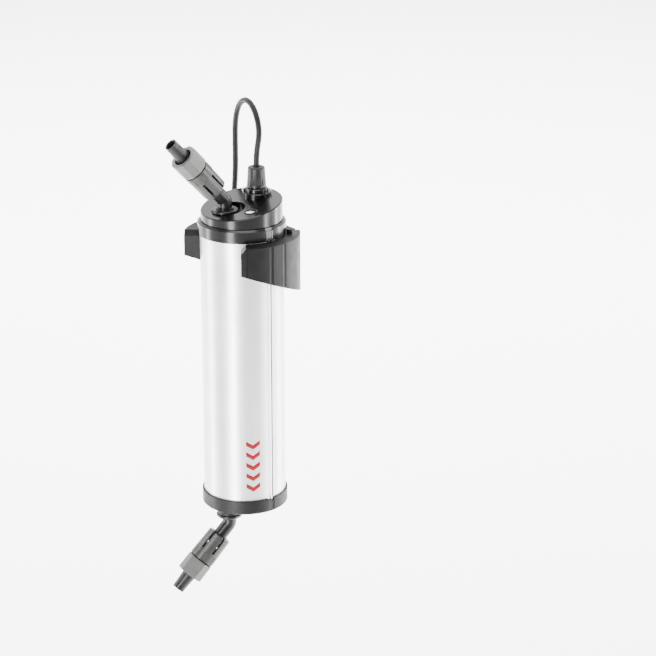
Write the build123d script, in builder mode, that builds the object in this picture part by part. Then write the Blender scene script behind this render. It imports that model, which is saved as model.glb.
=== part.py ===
"""Inline uv clarifier for an aquarium: a lamp in a quartz sleeve inside an upright water chamber.

Frame: millimetres, +Z up. The origin is the middle of the bracket's flat back face, and +Y points
into the wall that the face is screwed to. The housing's axis stands WALL_TO_AXIS in front of it.
"""

import os
from math import cos, degrees, pi, radians, sin, sqrt, tan

from build123d import *

os.makedirs("parts", exist_ok=True)

# ---- fits
GAP = 0.3  # between pieces that move past each other, and loose seats
RUN = 0.05  # radial clearance of a running fit
SEAT = 0.15  # radial clearance of a seated fit

# ---- housing
TUBE_R = 42.0
TUBE_WALL = 2.0
TUBE_VISIBLE = 276.0
LINER_T = 0.5

# ---- wall bracket
WALL_GAP = 6.7  # between the wall and the housing tube
CRADLE_WALL = 16.5  # from the tube out to the arms' outer face
WALL_TO_AXIS = TUBE_R + WALL_GAP
BRACKET_R = TUBE_R + CRADLE_WALL
BRACKET_TOP_Z = 31.0
BRACKET_BACK_H = 62.0
BRACKET_SLOPE = 0.4  # rise of the lower edge for each millimetre away from the wall
ARM_LEFT_ANGLE = -134.0
ARM_RIGHT_ANGLE = -39.0
ARM_LIP_W = 6.5
ARM_CORNER = 5.0
SCREW_SPACING = 48.0
SCREW_HOLE_R = 2.25
SCREW_HEAD_R = 4.6
SCREW_Z = 9.0
PEG_INSET, PEG_FROM_WALL = 9.0, 14.2  # in from the tube's side, and out from the wall
PEG_R, PEG_H = 3.0, 4.4
PEG_X, PEG_Y = TUBE_R - PEG_INSET, WALL_TO_AXIS - PEG_FROM_WALL

# ---- locking ring and head
RING_GAP = 1.0  # between the bracket's top and the locking ring
RING_WALL = 2.3
RING_R = TUBE_R + RING_WALL
RING_H = 13.5
RING_SKIRT = 10.3  # height of the wide bore below the ring's inner lip
RING_LEDGE = 1.9
TUBE_IN_RING = 6.0
LUG_H, LUG_T, LUG_ARC, LUG_TURN = 2.2, 1.2, 16.0, 20.0
HEAD_INSET = 1.0  # the head is this much narrower than the tube
HEAD_R = TUBE_R - HEAD_INSET
HEAD_TOP = 29.0  # height of the sloped top at the housing's axis, above the ring's bottom
HEAD_TILT = 10.2
SHELL = 2.5
HEAD_FLANGE_T = 5.7
WELL_DEPTH = 28.0  # how far the head's dry well reaches down inside the housing
PORT_X, PORT_Y = -2.5, -19.0  # from the housing's axis
RECESS_X, RECESS_Y, RECESS_R = -1.0, -16.0, 17.0
RECESS_FLOOR = 22.8  # above the ring's bottom

# ---- latch in the locking ring
LATCH_W, LATCH_H, LATCH_T = 9.0, 9.4, 1.1

# ---- bottom cap
CAP_WALL = 2.0
CAP_R = TUBE_R + CAP_WALL
CAP_H = 14.5
CAP_FLOOR = 4.0
CAP_SPIGOT_H = 12.0
BOSS_R = 12.4
BOSS_H = 11.0

# ---- swivel elbow and hose coupling, the same at both ends
PIPE_R, PIPE_BORE_R = 7.3, 5.3
SHAFT_R = 8.5
SHAFT_DEPTH = 15.0  # wall of the port that the shaft turns in
FLANGE_R, FLANGE_T = 13.4, 3.5
BEND_RISE = 12.5  # from the seat to the bend's corner
BEND_ANGLE = 42.0
BEND_R = 9.0
COLLET_START, COLLET_LEN = 16.0, 31.5
COLLET_R0, COLLET_R1 = 12.7, 13.5
SLOT_LEN, SLOT_W, SLOT_COUNT = 20.0, 2.6, 6
NUT_GAP, NUT_LEN, NUT_FLAT, NUT_SIDES = 1.6, 18.5, 13.5, 10
NUT_MOUTH_R = 9.8
THREAD_R, THREAD_LEN = 11.3, 11.0
NOZZLE_OUT = 19.5
NOZZLE_R0, NOZZLE_R1, NOZZLE_BORE_R = 7.7, 6.5, 4.9
NOZZLE_LAND = 5.0
INLET_TURN, OUTLET_TURN = -10.0, -17.0  # rest directions, from straight away from the wall
COLLET_TURNS = {"inlet": 0.0, "outlet": 30.0}

# ---- window, gland and cord
WINDOW_X, WINDOW_Y, WINDOW_R = 25.0, -8.0, 6.6
WINDOW_SINK, LENS_T = 0.8, 0.7  # the lens lies below the sloped top
GLAND_X, GLAND_Y = -3.5, 22.0
GLAND_PAD_R, GLAND_STEP_R, GLAND_NUT_R, GLAND_NUT_H = 14.3, 11.3, 9.4, 19.8
GLAND_FOOT = 34.3  # top of the pad that the gland stands on, above the ring's bottom
GLAND_NECK = 8.3  # from the pad to the nut
CORD_R = 3.0

# ---- lamp
SLEEVE_Y = 15.0  # the lamp stands behind the inlet duct
SLEEVE_R, SLEEVE_WALL, SLEEVE_LEN = 18.0, 1.5, 232.0
SLEEVE_LIP_W, SLEEVE_LIP_T = 3.0, 2.0
SLEEVE_SEAL_R = 0.8
LAMP_R, LAMP_PITCH, LAMP_LEN = 6.0, 14.0, 200.0

# ---- ballast board, upright in the dry well
BOARD_X, BOARD_Y, BOARD_T = -28.0, 2.0, 1.6
BOARD_SCREW_Y = (-13.0, 19.0)
BOARD_SCREW_R = 1.1

# ---- heights and radii worked out from the sizes above
AXIS_Y = -WALL_TO_AXIS
RING_Z = BRACKET_TOP_Z + RING_GAP
TUBE_TOP = RING_Z + TUBE_IN_RING
CAP_TOP = RING_Z - TUBE_VISIBLE
CAP_Z = CAP_TOP - CAP_H
TUBE_BOTTOM = CAP_Z + CAP_FLOOR
BORE_R = TUBE_R - TUBE_WALL
PLUG_R = BORE_R - GAP
HEAD_SPLIT = TUBE_TOP + HEAD_FLANGE_T
WELL_Z = TUBE_TOP - WELL_DEPTH
WELL_R = PLUG_R - SHELL
RECESS_Z = RING_Z + RECESS_FLOOR
HEAD_TOP_Z = RING_Z + HEAD_TOP
BOARD_Z = WELL_Z + 21.0
TOP_SLOPE = tan(radians(HEAD_TILT))
LENS_Z = HEAD_TOP_Z + WINDOW_Y * TOP_SLOPE - WINDOW_SINK - LENS_T
GLAND_Z = RING_Z + GLAND_FOOT
GLAND_NUT_Z = GLAND_Z + GLAND_NECK
CORD_Z = GLAND_NUT_Z + GLAND_NUT_H
SLEEVE_FLOOR_T = 4.0
SLEEVE_TOP = WELL_Z + SLEEVE_FLOOR_T + SLEEVE_LIP_T
BOSS_Z = CAP_Z - BOSS_H
BAYONET_Z = RING_Z + 1.8


def level(z, x=0.0, y=0.0):
    """The horizontal plane at height z, with its origin on the housing's axis or x, y away from it."""
    return Plane(origin=(x, AXIS_Y + y, z))


def top_plane(lift=0.0):
    """The plane of the head's sloped top, or one lifted along its own normal."""
    return Plane(
        origin=(0, AXIS_Y, HEAD_TOP_Z),
        x_dir=(1, 0, 0),
        z_dir=(0, -sin(radians(HEAD_TILT)), cos(radians(HEAD_TILT))),
    ).offset(lift)


def disc(z, radius, height, x=0.0, y=0.0, mode=Mode.ADD):
    """An upright cylinder standing on height z."""
    with BuildSketch(level(z, x, y)) as base:
        Circle(radius)
    extrude(base.sketch, amount=height, mode=mode)


def save(piece, name):
    piece.label = name
    export_step(piece, f"parts/{name}.step")


def ring_part(z, r_in, r_out, height, x=0.0, y=0.0):
    """A plain flat ring, such as a gasket, nut or liner."""
    with BuildPart() as flat_ring:
        with BuildSketch(level(z, x, y)):
            Circle(r_out)
            Circle(r_in, mode=Mode.SUBTRACT)
        extrude(amount=height)
    return flat_ring.part


def o_ring_part(plane, mean_r, cord_r):
    """An O-ring lying in a plane."""
    with BuildPart() as o_ring:
        with BuildSketch(Plane(plane.origin, x_dir=plane.x_dir, z_dir=-plane.y_dir)):
            with Locations((mean_r, 0)):
                Circle(cord_r)
        revolve(axis=Axis(plane.origin, plane.z_dir))
    return o_ring.part


# ============================================================== wall bracket
def bracket_cradle():
    arms = (ARM_LEFT_ANGLE + ARM_RIGHT_ANGLE) / 2
    opening = radians(ARM_RIGHT_ANGLE - ARM_LEFT_ANGLE) / 2
    reach = BRACKET_R * 1.6
    inner_r = TUBE_R + GAP
    mid_r = (inner_r + BRACKET_R) / 2
    bottom_z = BRACKET_TOP_Z - BRACKET_BACK_H
    with BuildPart() as cradle:
        with BuildSketch(level(bottom_z)):
            Circle(BRACKET_R)
            Circle(inner_r, mode=Mode.SUBTRACT)
            with BuildLine():
                Polyline(
                    (0, 0),
                    (reach * cos(radians(arms) - opening), reach * sin(radians(arms) - opening)),
                    (reach * cos(radians(arms)), reach * sin(radians(arms))),
                    (reach * cos(radians(arms) + opening), reach * sin(radians(arms) + opening)),
                    close=True,
                )
            make_face(mode=Mode.SUBTRACT)
        extrude(amount=BRACKET_BACK_H)
        split(bisect_by=Plane(origin=(0, 0, 0), z_dir=(0, 1, 0)), keep=Keep.BOTTOM)
        # the sloping lower edge
        with BuildSketch(Plane.YZ.offset(-reach)):
            with BuildLine():
                Polyline(
                    (1, bottom_z - 1),
                    (1, bottom_z),
                    (0, bottom_z),
                    (-3 * BRACKET_R, bottom_z + 3 * BRACKET_R * BRACKET_SLOPE),
                    (-3 * BRACKET_R, bottom_z - 1),
                    close=True,
                )
            make_face()
        extrude(amount=2 * reach, mode=Mode.SUBTRACT)
        # a narrow groove behind each arm's lip
        for angle, side in ((ARM_LEFT_ANGLE, -1), (ARM_RIGHT_ANGLE, 1)):
            groove = angle + side * degrees(ARM_LIP_W / BRACKET_R)
            with BuildSketch(level(bottom_z)):
                with PolarLocations(BRACKET_R, 1, start_angle=groove):
                    Rectangle(1.6, 1.1)
            extrude(amount=BRACKET_BACK_H, mode=Mode.SUBTRACT)
        # shallow flutes round the outside of the right arm and the left arm
        for angle in (-8.0, 8.0, 188.0, 172.0):
            with BuildSketch(level(bottom_z)):
                with PolarLocations(BRACKET_R + 4.4, 1, start_angle=angle):
                    Circle(5.0)
            extrude(amount=BRACKET_BACK_H, mode=Mode.SUBTRACT)
        # the cut-off upper corner of each arm's tip
        for angle, side in ((ARM_LEFT_ANGLE, -1), (ARM_RIGHT_ANGLE, 1)):
            tip = Plane(
                origin=(mid_r * cos(radians(angle)), AXIS_Y + mid_r * sin(radians(angle)), BRACKET_TOP_Z),
                x_dir=(-side * sin(radians(angle)), side * cos(radians(angle)), 0),
                z_dir=(side * cos(radians(angle)), side * sin(radians(angle)), 0),
            )
            with BuildSketch(tip.offset(-BRACKET_R / 2)):
                with BuildLine():
                    Polyline((-1, 1), (ARM_CORNER, 1), (ARM_CORNER, 0), (0, -ARM_CORNER),
                             (-1, -ARM_CORNER), close=True)
                make_face()
            extrude(amount=BRACKET_R, mode=Mode.SUBTRACT)
        # screw holes through the back, countersunk from the housing's side
        for x in (-SCREW_SPACING / 2, SCREW_SPACING / 2):
            seat_y = AXIS_Y + sqrt(inner_r**2 - x**2) + 3.0
            with BuildSketch(Plane(origin=(x, 1, SCREW_Z), x_dir=(1, 0, 0), z_dir=(0, -1, 0))):
                Circle(SCREW_HOLE_R)
            extrude(amount=WALL_TO_AXIS, mode=Mode.SUBTRACT)
            with BuildSketch(Plane(origin=(x, seat_y, SCREW_Z), x_dir=(1, 0, 0), z_dir=(0, -1, 0))):
                Circle(SCREW_HEAD_R)
            extrude(amount=WALL_TO_AXIS / 2, mode=Mode.SUBTRACT)
            with BuildSketch(Plane(origin=(x, seat_y, SCREW_Z), x_dir=(1, 0, 0), z_dir=(0, 1, 0))):
                Circle(SCREW_HEAD_R)
            with BuildSketch(
                Plane(origin=(x, seat_y + SCREW_HEAD_R - SCREW_HOLE_R, SCREW_Z), x_dir=(1, 0, 0), z_dir=(0, 1, 0))
            ):
                Circle(SCREW_HOLE_R)
            loft(mode=Mode.SUBTRACT)
        # a notch in the top of the back edge, beside each peg
        for x in (-PEG_X + 6, PEG_X - 6):
            with BuildSketch(Plane(origin=(x, 0, BRACKET_TOP_Z))):
                Rectangle(4.0, 6.0)
            extrude(amount=-2.0, mode=Mode.SUBTRACT)
    return cradle.part


def bracket_pegs():
    with BuildPart() as pegs:
        for x in (-PEG_X, PEG_X):
            disc(BRACKET_TOP_Z, PEG_R, PEG_H, x=x, y=PEG_Y)
        chamfer(pegs.faces().group_by(Axis.Z)[-1].edges(), 0.5)
    return pegs.part


save(bracket_cradle(), "bracket_cradle")
save(bracket_pegs(), "bracket_pegs")


# ============================================================== housing and bottom cap
def housing_tube():
    length = TUBE_TOP - TUBE_BOTTOM
    with BuildPart() as tube:
        with BuildSketch(level(TUBE_BOTTOM)):
            Circle(TUBE_R)
            Circle(BORE_R, mode=Mode.SUBTRACT)
            # a shallow sloping rail with a narrow slit at its far side
            with BuildLine():
                Polyline((TUBE_R + 1, -5.2), (TUBE_R - 0.1, -5.2), (TUBE_R - 1.0, 0.6),
                         (TUBE_R - 0.2, 1.0), (TUBE_R + 1, 1.0), close=True)
            make_face(mode=Mode.SUBTRACT)
            with Locations((TUBE_R, 3.2)):
                Rectangle(2.4, 0.9, mode=Mode.SUBTRACT)
        extrude(amount=length)
    return tube.part


def bayonet_lugs():
    with BuildPart() as lugs:
        with BuildSketch(level(BAYONET_Z)):
            for angle in (60.0, 180.0, 300.0):
                with BuildLine():
                    half = radians(LUG_ARC / 2)
                    mid = radians(angle)
                    outer, inner = TUBE_R + LUG_T, TUBE_R
                    a0, a1 = mid - half, mid + half
                    ThreePointArc((inner * cos(a0), inner * sin(a0)), (inner * cos(mid), inner * sin(mid)),
                                  (inner * cos(a1), inner * sin(a1)))
                    Line((inner * cos(a1), inner * sin(a1)), (outer * cos(a1), outer * sin(a1)))
                    ThreePointArc((outer * cos(a1), outer * sin(a1)), (outer * cos(mid), outer * sin(mid)),
                                  (outer * cos(a0), outer * sin(a0)))
                    Line((outer * cos(a0), outer * sin(a0)), (inner * cos(a0), inner * sin(a0)))
                make_face()
        extrude(amount=LUG_H)
    return lugs.part


def bottom_cap():
    with BuildPart() as cap:
        disc(CAP_Z, CAP_R, CAP_H)
        chamfer(cap.faces().sort_by(Axis.Z)[0].edges(), 1.0)
        chamfer(cap.faces().sort_by(Axis.Z)[-1].edges(), 0.5)
        disc(TUBE_BOTTOM, TUBE_R + SEAT, CAP_H, mode=Mode.SUBTRACT)
        disc(TUBE_BOTTOM, PLUG_R, CAP_SPIGOT_H)
        disc(TUBE_BOTTOM, PLUG_R - 3.0, CAP_SPIGOT_H, mode=Mode.SUBTRACT)
        with BuildSketch(level(TUBE_BOTTOM + CAP_SPIGOT_H / 2 - 1.1)):
            Circle(PLUG_R)
            Circle(PLUG_R - 1.5, mode=Mode.SUBTRACT)
        extrude(amount=2.2, mode=Mode.SUBTRACT)
        disc(CAP_Z, SHAFT_R + RUN, CAP_FLOOR, x=PORT_X, y=PORT_Y, mode=Mode.SUBTRACT)
        # the rail's notch down the side of the cap
        with BuildSketch(level(CAP_Z)):
            with Locations((CAP_R, 0)):
                Rectangle(1.6, 7.5)
        extrude(amount=CAP_H, mode=Mode.SUBTRACT)
        with BuildSketch(level(CAP_TOP)):
            with Locations((CAP_R, 0)):
                Rectangle(5.0, 7.5)
        extrude(amount=-2.2, mode=Mode.SUBTRACT)
    return cap.part


save(housing_tube(), "housing_tube")
save(bayonet_lugs(), "bayonet_lugs")
save(bottom_cap(), "bottom_cap")
save(ring_part(BOSS_Z, SHAFT_R + RUN, BOSS_R, BOSS_H, x=PORT_X, y=PORT_Y), "outlet_boss")
save(
    o_ring_part(level(TUBE_BOTTOM + CAP_SPIGOT_H / 2), BORE_R - 0.9, 0.85),
    "bottom_cap_o_ring",
)
save(
    ring_part(
        TUBE_BOTTOM + CAP_SPIGOT_H + GAP,
        BORE_R - SEAT - LINER_T,
        BORE_R - SEAT,
        WELL_Z - TUBE_BOTTOM - CAP_SPIGOT_H - 2 * GAP,
    ),
    "reflector_liner",
)


# ============================================================== locking ring and latch
def locking_ring():
    lip_z = RING_Z + RING_SKIRT
    groove_r = TUBE_R + LUG_T + GAP
    with BuildPart() as ring:
        disc(RING_Z, RING_R, RING_H)
        chamfer(ring.faces().sort_by(Axis.Z)[-1].edges(), RING_LEDGE)
        chamfer(ring.faces().sort_by(Axis.Z)[0].edges(), 0.4)
        disc(RING_Z, TUBE_R + GAP, RING_SKIRT, mode=Mode.SUBTRACT)
        disc(lip_z, HEAD_R + GAP, RING_H - RING_SKIRT, mode=Mode.SUBTRACT)
        disc(BAYONET_Z - GAP, groove_r, LUG_H + 2 * GAP, mode=Mode.SUBTRACT)
        for angle in (60.0, 180.0, 300.0):
            with BuildSketch(level(RING_Z)):
                with PolarLocations(groove_r - 3.0, 1, start_angle=angle - LUG_TURN):
                    Rectangle(8.0, 2 * groove_r * sin(radians(LUG_ARC / 2 + 1)))
                Circle(groove_r - 0.1, mode=Mode.INTERSECT)
            extrude(amount=BAYONET_Z - RING_Z, mode=Mode.SUBTRACT)
        # the latch's window, and the finger scoop above it
        with BuildSketch(level(RING_Z + 1.2 - GAP)):
            with Locations((RING_R, 0)):
                Rectangle(5.0, LATCH_W + 2 * GAP)
        extrude(amount=LATCH_H + 2 * GAP, mode=Mode.SUBTRACT)
        with BuildSketch(Plane.XZ.offset(-AXIS_Y - 4.2)):
            with BuildLine():
                Polyline(
                    (RING_R - RING_LEDGE, RING_Z + RING_H),
                    (RING_R + 1, RING_Z + RING_H),
                    (RING_R + 1, lip_z - 1.6),
                    (RING_R - 0.25, lip_z - 1.6),
                    close=True,
                )
            make_face()
        extrude(amount=8.4, mode=Mode.SUBTRACT)
    return ring.part


def latch_button():
    back_x = RING_R - LATCH_T
    with BuildPart() as latch:
        with BuildSketch(level(RING_Z + 1.2)):
            with Locations((back_x + LATCH_T / 2, 0)):
                Rectangle(LATCH_T, LATCH_W)
        extrude(amount=LATCH_H)
        for y in (-3.0, 0.0, 3.0):
            with BuildSketch(level(RING_Z + 1.2)):
                with Locations((back_x + LATCH_T + 0.25, y)):
                    Rectangle(0.5, 1.5)
            extrude(amount=LATCH_H - 0.6)
    return latch.part


save(locking_ring(), "locking_ring")
save(latch_button(), "latch_button")


# ============================================================== head
def head_base():
    duct_r = SHAFT_R + 4.2
    clip_room_r = SHAFT_R + 2.4
    shoulder_z = RECESS_Z - SHAFT_DEPTH
    duct_top = RECESS_Z - SHELL - 1.0
    with BuildPart() as base:
        disc(WELL_Z, PLUG_R, WELL_DEPTH)
        disc(TUBE_TOP, HEAD_R, HEAD_FLANGE_T)
        disc(TUBE_TOP, TUBE_R - SEAT, RING_SKIRT - TUBE_IN_RING - GAP)
        disc(WELL_Z + SLEEVE_FLOOR_T, WELL_R, HEAD_SPLIT - WELL_Z, mode=Mode.SUBTRACT)
        disc(WELL_Z, duct_r, duct_top - WELL_Z, x=PORT_X, y=PORT_Y)
        disc(WELL_Z, SHAFT_R + RUN, duct_top - WELL_Z, x=PORT_X, y=PORT_Y, mode=Mode.SUBTRACT)
        disc(WELL_Z, clip_room_r, shoulder_z - WELL_Z, x=PORT_X, y=PORT_Y, mode=Mode.SUBTRACT)
        disc(WELL_Z, SLEEVE_R + GAP, SLEEVE_FLOOR_T, y=SLEEVE_Y, mode=Mode.SUBTRACT)
        seal_z = WELL_Z + SLEEVE_FLOOR_T - 2 * SLEEVE_SEAL_R
        disc(seal_z, SLEEVE_R + 2 * SLEEVE_SEAL_R + 0.4, 2 * SLEEVE_SEAL_R, y=SLEEVE_Y, mode=Mode.SUBTRACT)
        # posts that carry the ballast's board
        for y in BOARD_SCREW_Y:
            wall_x = -sqrt((WELL_R + 1.2) ** 2 - (abs(y) + 2.4) ** 2)
            with BuildSketch(Plane(origin=(wall_x, AXIS_Y + y, BOARD_Z), x_dir=(0, 1, 0), z_dir=(1, 0, 0))):
                Circle(2.4)
            extrude(amount=BOARD_X - wall_x)
            with BuildSketch(Plane(origin=(BOARD_X, AXIS_Y + y, BOARD_Z), x_dir=(0, 1, 0), z_dir=(-1, 0, 0))):
                Circle(BOARD_SCREW_R)
            extrude(amount=4.0, mode=Mode.SUBTRACT)
        with BuildSketch(level(WELL_Z + WELL_DEPTH / 2 - 1.1)):
            Circle(PLUG_R)
            Circle(PLUG_R - 1.5, mode=Mode.SUBTRACT)
        extrude(amount=2.2, mode=Mode.SUBTRACT)
    return base.part


def head_cover():
    inner = top_plane(-SHELL)
    with BuildPart() as cover:
        disc(HEAD_SPLIT, HEAD_R, HEAD_TOP * 2)
        split(bisect_by=top_plane(), keep=Keep.BOTTOM)
        chamfer(cover.edges().filter_by(GeomType.ELLIPSE), 1.0)
        with BuildPart(mode=Mode.PRIVATE) as hollow:
            disc(HEAD_SPLIT, HEAD_R - SHELL, HEAD_TOP * 2)
            split(bisect_by=inner, keep=Keep.BOTTOM)
        # the round recess round the inlet, with its own floor
        with BuildPart(mode=Mode.PRIVATE) as recess_cup:
            disc(RECESS_Z - SHELL, RECESS_R + SHELL, HEAD_TOP * 2, x=RECESS_X, y=RECESS_Y)
        add(hollow.part - recess_cup.part, mode=Mode.SUBTRACT)
        disc(RECESS_Z, RECESS_R, HEAD_TOP, x=RECESS_X, y=RECESS_Y, mode=Mode.SUBTRACT)
        disc(HEAD_SPLIT, SHAFT_R + 0.5, HEAD_TOP, x=PORT_X, y=PORT_Y, mode=Mode.SUBTRACT)
        # the raised pad under the cord gland
        with BuildPart(mode=Mode.PRIVATE) as pad:
            disc(HEAD_TOP_Z, GLAND_PAD_R, GLAND_Z - HEAD_TOP_Z, x=GLAND_X, y=GLAND_Y)
            split(bisect_by=top_plane(-SHELL / 2), keep=Keep.TOP)
        add(pad.part)
        disc(GLAND_Z, GLAND_PAD_R + SEAT, HEAD_TOP, x=GLAND_X, y=GLAND_Y, mode=Mode.SUBTRACT)
        disc(HEAD_SPLIT, CORD_R + 2.0, HEAD_TOP * 2, x=GLAND_X, y=GLAND_Y, mode=Mode.SUBTRACT)
        # the window's hole, with a ledge that the lens lies on
        disc(HEAD_SPLIT, WINDOW_R - 2.4, HEAD_TOP * 2, x=WINDOW_X, y=WINDOW_Y, mode=Mode.SUBTRACT)
        disc(LENS_Z, WINDOW_R - 1.6, HEAD_TOP, x=WINDOW_X, y=WINDOW_Y, mode=Mode.SUBTRACT)
    return cover.part


def head_seat(x, y, lift=0.0):
    """A plane on the head's sloped top, above a point given from the housing's axis."""
    top = top_plane()
    z = HEAD_TOP_Z + y * TOP_SLOPE
    return Plane(origin=(x, AXIS_Y + y, z), x_dir=top.x_dir, z_dir=top.z_dir).offset(lift)


def window_bezel():
    with BuildPart() as bezel:
        with BuildSketch(head_seat(WINDOW_X, WINDOW_Y)):
            Circle(WINDOW_R)
            Circle(WINDOW_R - 1.4, mode=Mode.SUBTRACT)
        extrude(amount=0.8)
        chamfer(bezel.faces().sort_by(Axis.Z)[-1].outer_wire().edges(), 0.4)
    return bezel.part


def window_lens():
    """A flat disc on its ledge in the window's hole."""
    with BuildPart() as lens:
        disc(LENS_Z, WINDOW_R - 1.6 - SEAT, LENS_T, x=WINDOW_X, y=WINDOW_Y)
    return lens.part


save(head_base(), "head_base")
save(head_cover(), "head_cover")
save(window_bezel(), "window_bezel")
save(window_lens(), "window_lens")
save(o_ring_part(level(WELL_Z + WELL_DEPTH / 2), BORE_R - 0.9, 0.85), "head_o_ring")
save(
    ring_part(RECESS_Z - SHELL - 1.0, SHAFT_R + 1.0, SHAFT_R + 4.0, 1.0, x=PORT_X, y=PORT_Y),
    "duct_gasket",
)


# ============================================================== cord gland
def gland_base():
    with BuildPart() as base:
        disc(GLAND_Z, GLAND_PAD_R, 2.6, x=GLAND_X, y=GLAND_Y)
        chamfer(base.faces().sort_by(Axis.Z)[-1].edges(), 0.7)
        disc(GLAND_Z, GLAND_STEP_R, GLAND_NECK - 1.6, x=GLAND_X, y=GLAND_Y)
        chamfer(base.faces().sort_by(Axis.Z)[-1].edges(), 0.6)
        disc(GLAND_Z, GLAND_NUT_R - 1.2, GLAND_NECK, x=GLAND_X, y=GLAND_Y)
        disc(GLAND_Z, GLAND_NUT_R - 2.2, GLAND_NECK + 8.0, x=GLAND_X, y=GLAND_Y)
        disc(GLAND_Z, CORD_R + 1.6, GLAND_NECK + 8.0, x=GLAND_X, y=GLAND_Y, mode=Mode.SUBTRACT)
    return base.part


def gland_screws():
    with BuildPart() as screws:
        for side in (-1, 1):
            x = GLAND_X + side * (GLAND_PAD_R - 1.3) * cos(radians(48))
            y = GLAND_Y + side * (GLAND_PAD_R - 1.3) * sin(radians(48))
            disc(GLAND_Z + 2.6, 1.6, 3.2, x=x, y=y)
        chamfer(screws.faces().group_by(Axis.Z)[-1].edges(), 0.4)
    return screws.part


def gland_nut():
    with BuildPart() as nut:
        with BuildSketch(level(GLAND_NUT_Z, GLAND_X, GLAND_Y)):
            Circle(GLAND_NUT_R + 0.4)
        with BuildSketch(level(CORD_Z - 2.6, GLAND_X, GLAND_Y)):
            Circle(GLAND_NUT_R - 0.7)
        loft()
        disc(CORD_Z - 2.6, GLAND_NUT_R - 0.7, 2.6, x=GLAND_X, y=GLAND_Y)
        fillet(nut.faces().sort_by(Axis.Z)[-1].edges(), 1.8)
        # flutes between the finger ribs
        with BuildSketch(level(GLAND_NUT_Z + 2.0, GLAND_X, GLAND_Y)):
            with PolarLocations(GLAND_NUT_R + 1.0, 14):
                Circle(1.35)
        extrude(amount=GLAND_NUT_H - 5.2, mode=Mode.SUBTRACT)
        disc(GLAND_NUT_Z, GLAND_NUT_R - 2.0, GLAND_NUT_H - 4.0, x=GLAND_X, y=GLAND_Y, mode=Mode.SUBTRACT)
        disc(GLAND_NUT_Z, CORD_R + 2.4, GLAND_NUT_H, x=GLAND_X, y=GLAND_Y, mode=Mode.SUBTRACT)
    return nut.part


def gland_seal():
    with BuildPart() as seal:
        disc(GLAND_NUT_Z + 8.0, CORD_R + 2.3, GLAND_NUT_H - 8.0, x=GLAND_X, y=GLAND_Y)
    return seal.part


save(gland_base(), "gland_base")
save(gland_screws(), "gland_screws")
save(gland_nut(), "gland_nut")
save(gland_seal(), "gland_seal")


# ============================================================== lamp and its electrics
def quartz_sleeve():
    with BuildPart() as sleeve:
        disc(SLEEVE_TOP - SLEEVE_LEN, SLEEVE_R, SLEEVE_LEN, y=SLEEVE_Y)
        fillet(sleeve.faces().sort_by(Axis.Z)[0].edges(), SLEEVE_R * 0.6)
        disc(SLEEVE_TOP - SLEEVE_LIP_T, SLEEVE_R + SLEEVE_LIP_W, SLEEVE_LIP_T, y=SLEEVE_Y)
        disc(SLEEVE_TOP - SLEEVE_LEN + 8.0, SLEEVE_R - SLEEVE_WALL, SLEEVE_LEN, y=SLEEVE_Y,
             mode=Mode.SUBTRACT)
    return sleeve.part


def lamp_tubes():
    top = SLEEVE_TOP
    with BuildPart() as tubes:
        for x in (-LAMP_PITCH / 2, LAMP_PITCH / 2):
            disc(top - LAMP_LEN, LAMP_R, LAMP_LEN, x=x, y=SLEEVE_Y)
        with BuildSketch(Plane.YZ.offset(-LAMP_PITCH / 2)):
            with Locations((AXIS_Y + SLEEVE_Y, top - LAMP_LEN + LAMP_R + 1.0)):
                Circle(3.0)
        extrude(amount=LAMP_PITCH)
    return tubes.part


def lamp_base():
    with BuildPart() as base:
        with BuildSketch(level(SLEEVE_TOP, y=SLEEVE_Y)):
            RectangleRounded(30.0, 17.0, 5.0)
        extrude(amount=17.0)
    return base.part


def lamp_pins():
    with BuildPart() as pins:
        for x in (-11.5, 11.5):
            disc(SLEEVE_TOP + 17.0, 1.15, 6.0, x=x, y=SLEEVE_Y)
    return pins.part


def lamp_socket():
    with BuildPart() as socket:
        with BuildSketch(level(SLEEVE_TOP + 17.0, y=SLEEVE_Y)):
            RectangleRounded(34.0, 17.0, 3.0)
        extrude(amount=9.0)
        for x in (-11.5, 11.5):
            disc(SLEEVE_TOP + 17.0, 1.3, 6.5, x=x, y=SLEEVE_Y, mode=Mode.SUBTRACT)
    return socket.part


def ballast_board():
    with BuildPart() as board:
        with BuildSketch(Plane.YZ.offset(BOARD_X)):
            with Locations((AXIS_Y + BOARD_Y, BOARD_Z)):
                Rectangle(38.0, 30.0)
            with Locations(*[(AXIS_Y + y, BOARD_Z) for y in BOARD_SCREW_Y]):
                Circle(BOARD_SCREW_R + 0.15, mode=Mode.SUBTRACT)
        extrude(amount=BOARD_T)
    return board.part


def board_screws():
    with BuildPart() as screws:
        for y in BOARD_SCREW_Y:
            for x, radius, length in ((BOARD_X - 3.8, BOARD_SCREW_R - 0.05, 3.8 + BOARD_T),
                                      (BOARD_X + BOARD_T, 2.1, 1.3)):
                with BuildSketch(Plane(origin=(x, AXIS_Y + y, BOARD_Z), x_dir=(0, 1, 0), z_dir=(1, 0, 0))):
                    Circle(radius)
                extrude(amount=length)
    return screws.part


def ballast_parts():
    """Choke, capacitor and driver, each standing on the board."""
    face = Plane.YZ.offset(BOARD_X + BOARD_T)
    z = BOARD_Z
    with BuildPart() as parts:
        with BuildSketch(face):
            with Locations((AXIS_Y - 5.0, z)):
                Rectangle(9.0, 12.0)
        extrude(amount=6.0)
        with BuildSketch(face):
            with Locations((AXIS_Y + 5.0, z + 5.0)):
                Circle(4.0)
        extrude(amount=7.0)
        with BuildSketch(face):
            with Locations((AXIS_Y + 12.0, z - 4.0)):
                Rectangle(8.0, 6.0)
        extrude(amount=3.0)
    return parts.part


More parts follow.
